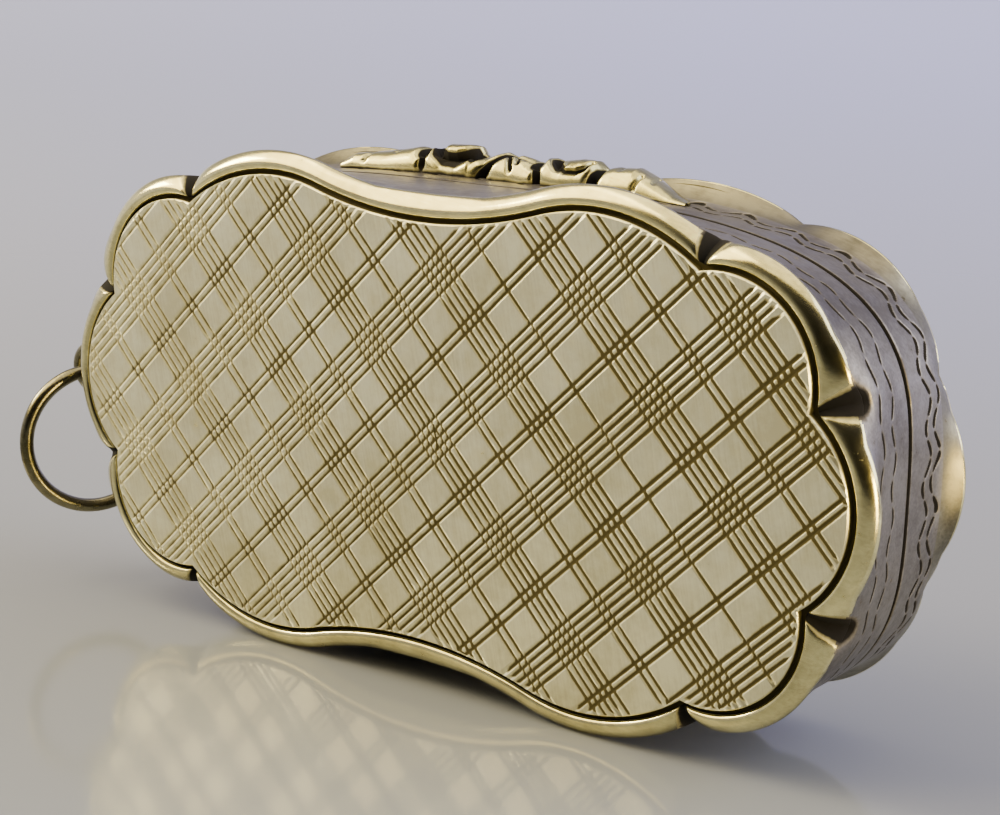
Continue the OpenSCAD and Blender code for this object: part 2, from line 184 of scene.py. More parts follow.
def dry_sponge():
    """Natural sponge: matt tan fibre, with painted shade down in its pores."""
    material, tree = new_material("natural_sponge")
    place = add(tree, "ShaderNodeTexCoord").outputs["Object"]
    pores = add(tree, "ShaderNodeTexVoronoi", Vector=place, Scale=2.2 / MM)
    fibre = add(tree, "ShaderNodeTexNoise", Vector=place, Scale=6 / MM, Detail=3.0)
    # the cell pattern paints shade into the fine pores
    tan = add(tree, "ShaderNodeMix", {"data_type": "RGBA"}, _0=pores.outputs["Distance"],
              _6=colour("#6E5430"), _7=colour("#C9AC72"))
    bump = add(tree, "ShaderNodeBump", Strength=0.8, Distance=0.06 * MM, Height=fibre.outputs["Fac"])
    shader = add(tree, "ShaderNodeBsdfPrincipled", Base_Color=tan.outputs[2], Roughness=0.9,
                 Normal=bump.outputs[0])
    add(tree, "ShaderNodeOutputMaterial", Surface=shader.outputs[0])
    return material


gilt = gilding()
sponge_fibre = dry_sponge()
print("other finishes:", gilt.name, sponge_fibre.name)

# %% [markdown]
# ## The lobed outline
# The case is drawn from four arcs in each quarter: an end lobe, a corner lobe, a shoulder and the waist. Lobes
# meet in sharp cusps. The same arcs moved in by an inset give the rims and panels. The body between the rims
# is plainer, a rounded oblong without cusps, and is found at the bearing of each point of the lobed edge.

# %% Outline of the case
HALF_LENGTH, HALF_WIDTH, CASE_DEPTH = 19.8, 10.45, 7.7
WAIST = HALF_WIDTH - 1.15
END_R, CORNER_R, SHOULDER_R = 5.35, 4.8, 8.8
END_C = np.array([HALF_LENGTH - END_R, 0])
CORNER_C = np.array([HALF_LENGTH - 6.5, HALF_WIDTH - 6.3])
SHOULDER_C = np.array([HALF_LENGTH - 12.05, HALF_WIDTH - SHOULDER_R])
RISE = WAIST - SHOULDER_C[1]
WAIST_R = (SHOULDER_C[0] ** 2 + RISE ** 2 - SHOULDER_R ** 2) / (2 * (SHOULDER_R - RISE))
WAIST_C = np.array([0, WAIST + WAIST_R])
ARC_STEPS = (27, 54, 40, 39)


def crossing(c1, r1, c2, r2):
    """Outer crossing of two circles."""
    d = np.linalg.norm(c2 - c1)
    along = (c2 - c1) / d
    a = (d * d + r1 * r1 - r2 * r2) / (2 * d)
    return c1 + a * along + math.sqrt(max(0, r1 * r1 - a * a)) * np.array([along[1], -along[0]])


def bearing(c, p):
    """Angle at which a point lies from a centre."""
    return math.atan2(p[1] - c[1], p[0] - c[0])


def outline(inset, fine=1):
    """The whole outline moved in by an inset, as x and z, from the +X end round by the top."""
    end_r, corner_r, shoulder_r = END_R - inset, CORNER_R - inset, SHOULDER_R - inset
    end_cusp = crossing(END_C, end_r, CORNER_C, corner_r)
    side_cusp = crossing(CORNER_C, corner_r, SHOULDER_C, shoulder_r)
    arcs = [(END_C, end_r, 0, bearing(END_C, end_cusp)),
            (CORNER_C, corner_r, bearing(CORNER_C, end_cusp), bearing(CORNER_C, side_cusp)),
            (SHOULDER_C, shoulder_r, bearing(SHOULDER_C, side_cusp), bearing(SHOULDER_C, WAIST_C)),
            (WAIST_C, WAIST_R + inset, bearing(WAIST_C, SHOULDER_C), -math.pi / 2)]
    quarter = []
    for (centre, r, a0, a1), steps in zip(arcs, ARC_STEPS):
        turn = np.linspace(a0, a1, steps * fine, endpoint=False)
        quarter.append(np.column_stack([centre[0] + r * np.cos(turn), centre[1] + r * np.sin(turn)]))
    quarter = np.vstack(quarter)
    top = np.vstack([quarter, [[0, WAIST - inset]], quarter[:0:-1] * [-1, 1]])
    return np.vstack([top, -top])


print("waist is an arc of", round(WAIST_R, 1), "mm radius")

# %% Plain body, and places along the outline
BODY_X, BODY_Z, BODY_POWER = 19.15, 9.5, 3.4


def arc_lengths(loop):
    """Distance along a closed loop to each of its points, and the whole length."""
    steps = np.linalg.norm(np.roll(loop, -1, axis=0) - loop, axis=1)
    return np.concatenate([[0], np.cumsum(steps)[:-1]]), steps.sum()


def body_at(loop, inset=0):
    """The plain body's rounded oblong, moved in by an inset, at the bearing of each point of a loop."""
    turn = np.arctan2(loop[:, 1], loop[:, 0])
    reach = ((np.abs(np.cos(turn)) / (BODY_X - inset)) ** BODY_POWER
             + (np.abs(np.sin(turn)) / (BODY_Z - inset)) ** BODY_POWER) ** (-1 / BODY_POWER)
    return np.column_stack([np.cos(turn), np.sin(turn)]) * reach[:, None]


def room(inset, fine=1):
    """The outline inside the wall, where both the lobed edge and the plain body leave room."""
    loop = outline(inset, fine)
    share = np.linalg.norm(body_at(loop, inset - HALF_LENGTH + BODY_X), axis=1) / np.linalg.norm(loop, axis=1)
    return loop * np.minimum(1, share)[:, None]


def cusp_distance():
    """How far each point of the outline is from the nearest cusp, in mm along the edge."""
    at, length = arc_lengths(outline(0))
    quarter = sum(ARC_STEPS)
    marks = [ARC_STEPS[0], ARC_STEPS[0] + ARC_STEPS[1]]
    cusps = [turn + side * mark for mark in marks for turn, side in
             ((0, 1), (2 * quarter, -1), (2 * quarter, 1), (4 * quarter, -1))]
    gaps = np.abs(at[:, None] - at[cusps][None, :])
    return np.minimum(gaps, length - gaps).min(axis=1)


CUSP = cusp_distance()
print("edge is", round(arc_lengths(outline(0))[1], 1), "mm round with", len(CUSP), "points")

# %% [markdown]
# Each piece is modelled at one unit to the millimetre, because merging, bevels and booleans work best at that
# size. A few small helpers do what hands do over and over: clear the selection, tidy a mesh, and read or set
# its points and their dirt.

# %% Helpers for one piece at a time
def start_fresh():
    """Nothing selected, so that the next operator acts on the new primitive alone."""
    bpy.ops.object.select_all(action="DESELECT")


def tidy_mesh(piece, recalculate=True):
    """Merge points that lie together and turn the faces outwards."""
    start_fresh()
    piece.select_set(True)
    bpy.context.view_layer.objects.active = piece
    bpy.ops.object.mode_set(mode="EDIT")
    bpy.ops.mesh.select_all(action="SELECT")
    bpy.ops.mesh.remove_doubles(threshold=0.0005)
    if recalculate:
        bpy.ops.mesh.normals_make_consistent(inside=False)
    bpy.ops.object.mode_set(mode="OBJECT")


def points_of(piece):
    """The piece's points as rows of x, y, z."""
    flat = np.empty(len(piece.data.vertices) * 3)
    piece.data.vertices.foreach_get("co", flat)
    return flat.reshape(-1, 3)


def set_points(piece, points):
    """Lay the piece's points on rows of x, y, z."""
    piece.data.vertices.foreach_set("co", np.ascontiguousarray(points, dtype=float).ravel())
    piece.data.update()


def set_dirt_and_shade(piece, amount):
    """Dirt and painted shade at each point, from 0 to 1 and on to 2 in the darkest cuts, which the silver's
    material reads.
    """
    layer = piece.data.attributes.get("dirt_and_shade") or piece.data.attributes.new("dirt_and_shade", "FLOAT", "POINT")
    layer.data.foreach_set("value", np.clip(amount, 0, 2).astype(np.float32))


# %% [markdown]
# A band of the box, such as a rim or a wall, is a strip bent round that outline. By hand one would sweep a
# section along the edge. A grid primitive whose rows are laid on the insets does the same, and lets each row
# have its own depth, notches and engraving.

# %% Strip bent round the outline
def bent_strip(name, rows, dirt_and_shade):
    """A grid primitive laid on rows of points, closed where its edges meet."""
    high, wide = rows.shape[0] - 1, rows.shape[1] - 1
    start_fresh()
    bpy.ops.mesh.primitive_grid_add(x_subdivisions=wide, y_subdivisions=high, size=2)
    piece = bpy.context.object
    piece.name = piece.data.name = name
    flat = points_of(piece)
    column = np.rint((flat[:, 0] + 1) * wide / 2).astype(int)
    row = np.rint((flat[:, 1] + 1) * high / 2).astype(int)
    set_points(piece, rows[row, column])
    set_dirt_and_shade(piece, dirt_and_shade[row, column])
    tidy_mesh(piece)
    return piece


def closed_band(name, loops, depths, dirt_and_shade):
    """Loops of x and z at their depths, closed both round the case and round the section."""
    rows = np.stack([np.column_stack([loop[:, 0], depth, loop[:, 1]]) for loop, depth in zip(loops, depths)])
    rows = np.concatenate([rows, rows[:1]])
    dirt_plus_shade = np.concatenate([np.array(dirt_and_shade), dirt_and_shade[:1]])
    return bent_strip(name, np.concatenate([rows, rows[:, :1]], axis=1),
                      np.concatenate([dirt_plus_shade, dirt_plus_shade[:, :1]], axis=1))


def turned_copy(piece, name):
    """The same shape on the lid's side of the case."""
    copy = bpy.data.objects.new(name, piece.data.copy())
    bpy.context.collection.objects.link(copy)
    copy.data.transform(Matrix.Translation((0, CASE_DEPTH, 0)) @ Matrix.Scale(-1, 4, (0, 1, 0)))
    tidy_mesh(copy)
    return copy


# %% [markdown]
# ## Rims
# Each rim is a half-round bead that follows the lobes beside the panel's groove. Its outer lip turns back into
# a cove, which runs from the lobed edge to the plain body. At each cusp the beads slope down to a filed notch,
# deep and dark with dirt and painted shade on the base and faint on the lid, whose shoulders are also sunk
# towards the body. The bead's side by the groove also holds dirt and painted shade. A hand rubs the beads
# bright and misses the coves, so each rim has two finishes.

# %% Lobed edge and cove
# depths of the lip and of the cove's end, and the bead's width
LIP, COVE_END, BEAD_WIDE = 0.58, 1.8, 0.78


def edge(inset, sunk=0, fine=1):
    """The lobed edge, with its shoulders sunk and its waist swelled a share of the way to the plain body."""
    loop = outline(inset, fine)
    out = max(0, 1 - inset / BEAD_WIDE)
    across = loop[:, 1] ** 2 / (loop ** 2).sum(axis=1)
    body = body_at(loop, inset)
    outside = (body ** 2).sum(axis=1) > (loop ** 2).sum(axis=1)
    share = np.where(outside, 0.6 * out ** 2, sunk * across * out)[:, None]
    return loop * (1 - share) + body * share


def side_loop(depth, sunk=0, fine=1):
    """The side's outline at a depth from the face: lobed at the lip, plain where the cove ends."""
    run = min(max((depth - LIP) / (COVE_END - LIP), 0), 1)
    share = math.sin(run * math.pi / 2)
    return edge(0, sunk, fine) * (1 - share) + body_at(outline(0, fine)) * share


print("cove runs in by up to", round(np.abs(side_loop(LIP) - side_loop(COVE_END)).max(), 2), "mm")

# %% Bead, cove and inner faces of a rim
# the rim's last row, where the wall takes over
RIM_END = 1.35
# insets of the panel and of the flange behind it, and the depths of their backs
PANEL_IN, FLANGE_IN, PANEL_T, BACK = 0.96, 0.5, 0.4, 0.8
# dirt and painted shade in a notch for each mm of its depth
NOTCH_DIRT_AND_SHADE = 5
# inset, depth and dirt of each row of the bead, from the groove to the lip; the rows by the groove hold dirt
# and painted shade
BEAD = [(0.78, 0.40, 1.0), (0.78, 0.33, 1.0), (0.775, 0.27, 0.9), (0.765, 0.215, 0.5), (0.745, 0.165, 0.15),
        (0.71, 0.12, 0), (0.655, 0.09, 0), (0.58, 0.075, 0), (0.49, 0.085, 0), (0.40, 0.115, 0),
        (0.32, 0.16, 0), (0.24, 0.215, 0), (0.17, 0.28, 0), (0.105, 0.345, 0), (0.055, 0.41, 0),
        (0.018, 0.475, 0), (0.0, 0.53, 0), (0.006, LIP, 0)]


def rim(name, inner, deep, sunk):
    """The bead, its cove and its inner faces, with notches that open outwards at the cusps."""
    loops, depths, dirt_and_shade = [], [], []
    for inset, depth, dirt_plus_shade in BEAD:
        out = 1 - inset / BEAD_WIDE
        notch = deep * ((0.5 + 0.8 * out) * np.exp(-(CUSP / (0.13 + 0.37 * out)) ** 2)
                        + 0.6 * out * np.exp(-(CUSP / 1.1) ** 2))
        loops.append(edge(inset, sunk))
        # by the groove the notch runs out towards the groove's floor
        kept = min(1, (PANEL_T - depth) * 8) if depth < PANEL_T and out < 0.2 else 1
        depths.append(depth + notch * kept)
        # the notches are near black: dirt and painted shade
        dirt_and_shade.append(np.maximum(dirt_plus_shade, deep * NOTCH_DIRT_AND_SHADE * np.exp(-(CUSP / (0.16 + 0.4 * out)) ** 2)))
    for depth in (0.62, 0.69, 0.78, 0.88, 1.0, 1.12, 1.24, RIM_END):
        share = (RIM_END - depth) / (RIM_END - LIP)
        loops.append(side_loop(depth, sunk))
        depths.append(depth + share * notch)
        dirt_and_shade.append(share * deep * NOTCH_DIRT_AND_SHADE * np.exp(-(CUSP / 0.56) ** 2))
    for loop, depth in ((room(inner), RIM_END), (room(inner), BACK), (outline(FLANGE_IN), BACK),
                        (outline(FLANGE_IN), PANEL_T)):
        loops.append(loop)
        depths.append(np.full(len(CUSP), depth))
        dirt_and_shade.append(np.zeros(len(CUSP)))
    return closed_band(name, loops, depths, dirt_and_shade)


# %% [markdown]
# A finished piece is scaled to metres, gets its finish and its shading, and rides on its body. It stands for
# the CAD node that it replaces, which is then hidden.

# %% Settle a finished piece
def settle(piece, body, slot_name, material, *replaced, angle=38):
    """Scale from millimetres to metres, finish the shading and put the piece on its body."""
    piece.data.transform(Matrix.Scale(MM, 4))
    piece.data.materials.clear()
    piece.data.materials.append(material)
    start_fresh()
    piece.select_set(True)
    bpy.context.view_layer.objects.active = piece
    bpy.ops.object.shade_smooth_by_angle(angle=math.radians(angle))
    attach(piece, body)
    if replaced:
        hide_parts(*replaced)
    print(piece.name, "on", body, "with", len(piece.data.vertices), "points")


# %% Base rim and lid rim
# insets of the walls' inner faces, and how far the lid's shoulders are sunk
WALL_IN, LID_IN, LID_SUNK = 1.15, 1.07, 0.5
BASE_NOTCH, LID_NOTCH = 0.3, 0.07
base_rim = rim("base_rim_moulding", WALL_IN, BASE_NOTCH, 0)
lid_pattern = rim("lid_rim_pattern", LID_IN, LID_NOTCH, LID_SUNK)
lid_rim = turned_copy(lid_pattern, "lid_rim_moulding")
bpy.data.objects.remove(lid_pattern)
settle(base_rim, "base", "silver", rim_silver, "base_rim")
settle(lid_rim, "lid", "silver", rim_silver, "lid_rim")
# the beads are rubbed bright, and the coves just behind the lips stay dull; the lid's cove is darker with
# painted shade
COVE_START = 0.62
for piece, cove_silver in ((base_rim, wall_silver), (lid_rim, lid_silver)):
    piece.data.materials.append(cove_silver)
    for polygon in piece.data.polygons:
        depth = polygon.center.y / MM
        polygon.material_index = int(min(depth, CASE_DEPTH - depth) > COVE_START)

# %% [markdown]
# ## Engraved panels
# The plaid is cut by hand in two crossing directions, steep and flat: groups of five lines with a pair midway.
# Bump would look painted on, so each cut is a real V groove. A grid whose lines stand on the edges and the
# bottom of every cut is turned to the plaid's angle, and a boolean trims it to the lobed panel.

# %% Plaid cuts
PLAID_TURN = math.radians(43.85)
CUT_PITCH = 0.325
# width, depth and slant of a cut
STEEP_CUT, FLAT_CUT = (0.24, 0.048, 0), (0.30, 0.052, -0.03)
FLAT_MIDDLE, FLAT_PERIOD = -0.65, 4.71
# a hand's slip to either side, the ridge left between neighbours, and the spacing of the plain grid lines
HAND_SLIP, THIN_RIDGE, PLAIN_STEP = 0.022, 0.014, 0.55


def plaid_cuts(middle, period, cut, single=math.inf):
    """Each cut's place, width, depth and slant, with a hand's small errors. One pair may be a single cut."""
    cuts = []
    for k in range(-5, 6):
        five = [(middle + k * period + j * CUT_PITCH, *cut) for j in (-2, -1, 0, 1, 2)]
        half_way = middle + (k + 0.5) * period
        pair = [(half_way + j * CUT_PITCH, *cut) for j in (-0.5, 0.5)]
        if abs(half_way - single) < 1:
            pair = [(single, *cut)]
        cuts += five + pair
    return [(place + rng.uniform(-HAND_SLIP, HAND_SLIP), wide * rng.uniform(0.88, 1.08),
             deep * rng.uniform(0.85, 1.12), slant) for place, wide, deep, slant in cuts]


def grid_lines(cuts):
    """Grid places, their depth, and the number of the cut that each belongs to, or -1."""
    lines = []
    places = [cut[0] for cut in cuts]
    for number, (place, wide, deep, slant) in enumerate(cuts):
        low, high = place - wide / 2, place + wide / 2
        # neighbours keep a thin ridge between them
        if number:
            low = max(low, np.mean(places[number - 1:number + 1]) + THIN_RIDGE)
        if number + 1 < len(cuts):
            high = min(high, np.mean(places[number:number + 2]) - THIN_RIDGE)
        lines += [(low, 0, number), (place + slant, deep, number), (high, 0, number)]
        if number + 1 < len(cuts):
            gap = places[number + 1] - place
            plain = int(gap / PLAIN_STEP)
            lines += [(place + gap * (j + 1) / (plain + 1), 0, -1) for j in range(plain)]
    return [np.array(column) for column in zip(*lines)]


steep_cuts = plaid_cuts(0.60, 4.67, STEEP_CUT, single=7.4)
along = grid_lines(steep_cuts)
across = grid_lines(plaid_cuts(FLAT_MIDDLE, FLAT_PERIOD, FLAT_CUT))
print("plaid grid of", len(along[0]), "by", len(across[0]), "lines")

# %% Wander of the graver
def wander(numbers, run):
    """A slow sideways wander of each cut along its run, as of a hand-held graver."""
    count = int(numbers.max()) + 1
    swing = rng.uniform(0.004, 0.013, count)
    wave = rng.uniform(5, 14, count)
    start = rng.uniform(0, 6.3, count)
    number = numbers.astype(int)
    shift = swing[number][:, None] * np.sin(run[None, :] * 2 * math.pi / wave[number][:, None]
                                            + start[number][:, None])
    return np.where(numbers[:, None] < 0, 0, shift)


def inside(points, loop):
    """True for the points of x and z within a closed loop."""
    hits = np.zeros(len(points), bool)
    for (x0, z0), (x1, z1) in zip(loop, np.roll(loop, -1, axis=0)):
        if z0 != z1:
            between = (points[:, 1] < z0) != (points[:, 1] < z1)
            hits ^= between & (points[:, 0] < x0 + (points[:, 1] - z0) * (x1 - x0) / (z1 - z0))
    return hits


# %% Engraved face
SLAB_THICK = 0.6
s = along[0][None, :] + wander(along[2], across[0]).T
t = across[0][:, None] + wander(across[2], along[0])
pressure = 0.88 + 0.12 * np.sin(s * 0.9 + t * 0.37) * np.cos(t * 0.8 - s * 0.21)
cut_depth = np.maximum(along[1][None, :], across[1][:, None]) * pressure
dents = 0.004 * np.sin(s * 1.3 + 1.1) * np.sin(t * 1.7 + 0.4) + 0.004
rows = np.stack([s * math.cos(PLAID_TURN) - t * math.sin(PLAID_TURN), cut_depth + dents,
                 s * math.sin(PLAID_TURN) + t * math.cos(PLAID_TURN)], axis=2)
face = bent_strip("base_engraved_plate", rows, np.zeros(rows.shape[:2]))
far = ~inside(points_of(face)[:, [0, 2]], outline(-0.6)[::4])
bpy.ops.object.mode_set(mode="EDIT")
bpy.ops.mesh.select_mode(type="VERT")
bpy.ops.mesh.select_all(action="DESELECT")
bpy.ops.object.mode_set(mode="OBJECT")
face.data.vertices.foreach_set("select", far)
bpy.ops.object.mode_set(mode="EDIT")
bpy.ops.mesh.delete(type="VERT")
bpy.ops.mesh.select_all(action="SELECT")
bpy.ops.mesh.extrude_region_move(TRANSFORM_OT_translate={"value": (0, SLAB_THICK, 0)})
bpy.ops.mesh.select_all(action="SELECT")
bpy.ops.mesh.normals_make_consistent(inside=False)
bpy.ops.object.mode_set(mode="OBJECT")
print("engraved slab has", len(face.data.polygons), "faces")

# %% [markdown]
# A modifier is applied as soon as it is set, so that a piece is a plain mesh at every step, and a boolean uses
# up its tool. The tools here are lobed blocks, extruded from the same outline as the rims.

# %% Panel trimmed to the lobes
def modify(piece, kind, **settings):
    """Add a modifier, set it and apply it."""
    modifier = piece.modifiers.new(kind.lower(), kind)
    for key, value in settings.items():
        setattr(modifier, key, value)
    bpy.context.view_layer.objects.active = piece
    bpy.ops.object.modifier_apply(modifier=modifier.name)


def cut_with(piece, tool, operation):
    """Boolean of a piece with a tool that is used up."""
    modify(piece, "BOOLEAN", object=tool, operation=operation, solver="EXACT")
    bpy.data.objects.remove(tool)


def lobed_block(name, steps):
    """A filled circle laid on the outline, then extruded from inset to inset and depth to depth."""
    start_fresh()
    bpy.ops.mesh.primitive_circle_add(vertices=len(CUSP), radius=1, fill_type="NGON")
    block = bpy.context.object
    block.name = block.data.name = name
    loop = outline(steps[0][0])
    set_points(block, np.column_stack([loop[:, 0], np.full(len(loop), steps[0][1]), loop[:, 1]]))
    for inset, depth in steps[1:]:
        bpy.ops.object.mode_set(mode="EDIT")
        bpy.ops.mesh.extrude_region_move(TRANSFORM_OT_translate={"value": (0, 0.01, 0)})
        bpy.ops.object.mode_set(mode="OBJECT")
        moved = np.empty(len(block.data.vertices), bool)
        block.data.vertices.foreach_get("select", moved)
        points = points_of(block)
        loop = outline(inset)
        points[moved] = np.column_stack([loop[:, 0], np.full(len(loop), depth), loop[:, 1]])
        set_points(block, points)
    tidy_mesh(block)
    return block


trim = lobed_block("trim", [(PANEL_IN + 0.09, -0.05), (PANEL_IN, 0.07), (PANEL_IN, PANEL_T + 0.05)])
cut_with(face, trim, "INTERSECT")
print("trimmed panel has", len(face.data.polygons), "faces")

# %% [markdown]
# The panel sits on a wider flange that the rim grips, and has one old nick near its middle. Dirt fills its
# cuts, less where a steep cut crosses a flat group and less towards the ring's end. Its edge down in the
# groove by the rim holds dirt and painted shade. The lid's plate is the same shape turned round, with a
# narrower flange behind the sunk shoulders of its rim.

# %% Nick, flange and dirt
NICK_X, NICK_Z, NICK_TURN = 0.93, 0.07, math.radians(-12.4)
STEEP_DIRT, CROSSED_DIRT, FLAT_DIRT, FLAT_EDGE_DIRT = 1.4, 0.95, 1.25, 0.05
NEAR_BOTTOM, CUT_FLOOR, CROSSING_HALF, INSIDE = 0.05, 0.02, 0.8, 0.6
start_fresh()
bpy.ops.mesh.primitive_cube_add(size=1, scale=(0.1, 0.1, 1.0), rotation=(0, 0, math.pi / 4))
nick = bpy.context.object
bpy.ops.object.transform_apply(location=True, rotation=True, scale=True)
nick.data.transform(Matrix.Translation((NICK_X, 0, NICK_Z)) @ Matrix.Rotation(NICK_TURN, 4, "Y"))
cut_with(face, nick, "DIFFERENCE")
flange = lobed_block("flange", [(FLANGE_IN, PANEL_T), (FLANGE_IN, BACK)])
cut_with(face, flange, "UNION")
tidy_mesh(face, recalculate=False)
spots = points_of(face)
plain = inside(spots[:, [0, 2]], outline(PANEL_IN + 0.08))
run = spots[:, 0] * math.cos(PLAID_TURN) + spots[:, 2] * math.sin(PLAID_TURN)
steep = np.abs(run[:, None] - np.array([cut[0] for cut in steep_cuts])[None, :]).min(axis=1) < NEAR_BOTTOM
rise = spots[:, 2] * math.cos(PLAID_TURN) - spots[:, 0] * math.sin(PLAID_TURN)
off_group = np.abs((rise - FLAT_MIDDLE + FLAT_PERIOD / 2) % FLAT_PERIOD - FLAT_PERIOD / 2)
crossed = off_group < CROSSING_HALF
bottom_dirt = np.where(steep, np.where(crossed, CROSSED_DIRT, STEEP_DIRT), FLAT_DIRT)
in_cut = np.where(spots[:, 1] > CUT_FLOOR, bottom_dirt, np.where(steep, 0, FLAT_EDGE_DIRT))
in_cut = in_cut * (0.72 + 0.28 * spots[:, 0] / HALF_LENGTH)
# the panel's edge down in the groove darkens with depth: dirt and painted shade
at_edge = (spots[:, 1] - 0.06) / 0.08
set_dirt_and_shade(face, np.where(spots[:, 1] > INSIDE, 0, np.where(plain, in_cut, at_edge)))
lid_face = turned_copy(face, "lid_engraved_plate")
points = points_of(lid_face)
points[CASE_DEPTH - points[:, 1] > PANEL_T - 0.01] *= (0.97, 1, 0.95)
set_points(lid_face, points)
settle(face, "base", "silver", panel_silver, "base_plate", angle=9)
settle(lid_face, "lid", "silver", panel_silver, "lid_plate", angle=9)

# %% [markdown]
# ## Side walls
# The walls are smooth bands that come out of the rims' coves. The lid's wall has two bold wavy lines, cut in
# short strokes, and the base's wall a faint pair that is nearly worn away along the waist. The rows of the
# strip lie close together where a line runs, so that the wave is a real groove.

# %% Wavy lines
FINE = 2
BODY = body_at(outline(0, FINE))
AT, ROUND = arc_lengths(BODY)
AT_ENDS = np.clip((np.abs(BODY[:, 0]) - 6) / 6, 0, 1)


def wavy_groove(depth, middle, wide, deep, waves, stroke, start, swing, kept):
    """Depth of a wavy cut at each point of a row, of which the long sides keep only a share."""
    turn = AT / ROUND * 2 * math.pi
    line = middle + swing * np.sin(turn * waves + start) + 0.04 * np.sin(turn * 17 + start * 3)
    cut = np.clip(1 - np.abs(depth - line) / (wide / 2), 0, 1)
    press = np.clip(1.7 * np.abs(np.sin(turn * stroke + start)) - 0.2, 0.1, 1)
    return deep * cut * press * (kept + (1 - kept) * AT_ENDS)


print("body is", round(ROUND, 1), "mm round")

# %% Base wall and lid wall
LINE_DIRTY_AT, SEAM_START = 0.028, 3.7


def side_wall(name, inner, lines, sunk):
    """A wall from its rim to the seam, as depths from its own face, with its wavy lines."""
    close = np.arange(1.4, 2.95, 0.045)
    wall_depths = np.concatenate([[RIM_END], close, [3.05, 3.2, 3.35, 3.5, 3.6, 3.68]])
    loops, depths, dirt_and_shade = [], [], []
    for depth in wall_depths:
        loop = side_loop(depth, sunk, FINE)
        cut = np.zeros(len(loop))
        for line in lines:
            cut = np.maximum(cut, wavy_groove(depth, *line))
        ahead = np.roll(loop, -1, axis=0) - np.roll(loop, 1, axis=0)
        inward = np.column_stack([-ahead[:, 1], ahead[:, 0]]) / np.linalg.norm(ahead, axis=1)[:, None]
        loops.append(loop + inward * cut[:, None])
        depths.append(np.full(len(loop), depth))
        dirt_and_shade.append(np.clip(cut / LINE_DIRTY_AT, 0, 1.5))
    seam = side_loop(SEAM_START, sunk, FINE)
    core = room(inner, FINE)
    # the seam's edge is rounded and holds dirt and painted shade, and the face behind it is clean
    for share, depth, dirt_plus_shade in ((0.03, 3.74, 0.8), (0.12, 3.79, 1.4), (0.2, 3.8, 0.2)):
        loops.append(seam * (1 - share) + core * share)
        depths.append(np.full(len(core), depth))
        dirt_and_shade.append(np.full(len(core), dirt_plus_shade))
    for depth in (3.8, RIM_END):
        loops.append(core)
        depths.append(np.full(len(core), depth))
        dirt_and_shade.append(np.zeros(len(core)))
    return closed_band(name, loops, depths, dirt_and_shade)


# each line's middle, width and depth in mm, waves and strokes round the case, start, swing and share kept
bold = [(1.78, 0.25, 0.085, 47, 62, 0.4, 0.26, 1), (2.44, 0.25, 0.085, 47, 67, 0.7, 0.24, 1)]
faint = [(1.75, 0.18, 0.05, 45, 39, 1.9, 0.1, 0.15), (2.62, 0.18, 0.05, 45, 51, 2.6, 0.12, 0.15)]
base_wall = side_wall("base_side_band", WALL_IN, faint, 0)
lid_wall = turned_copy(side_wall("lid_side_band_pattern", LID_IN, bold, LID_SUNK), "lid_side_band")
bpy.data.objects.remove(bpy.data.objects["lid_side_band_pattern"])
# room for the hinge's tubes
SEAM, HINGE_Z, HINGE_ROOM_R, HINGE_ROOM_LONG = CASE_DEPTH / 2, -9.8, 0.7, 9.8
for wall in (base_wall, lid_wall):
    start_fresh()
    bpy.ops.mesh.primitive_cylinder_add(vertices=48, radius=HINGE_ROOM_R, depth=HINGE_ROOM_LONG,
                                        location=(0, SEAM, HINGE_Z), rotation=(0, math.pi / 2, 0))
    cut_with(wall, bpy.context.object, "DIFFERENCE")
settle(base_wall, "base", "silver", wall_silver, "base_wall")
settle(lid_wall, "lid", "silver", wall_silver, "lid_wall")

# %% [markdown]
# ## Thumbpiece
# A cast strip of foliage is soldered along the lid's opening edge: two scrolls in the middle and a long leaf
# towards each end. It could be sculpted, but a strip bent over an arch and carved by strokes does it in code.
# Each stroke is a line of points on the front, as x and a share of the height, with a depth and a width in mm.

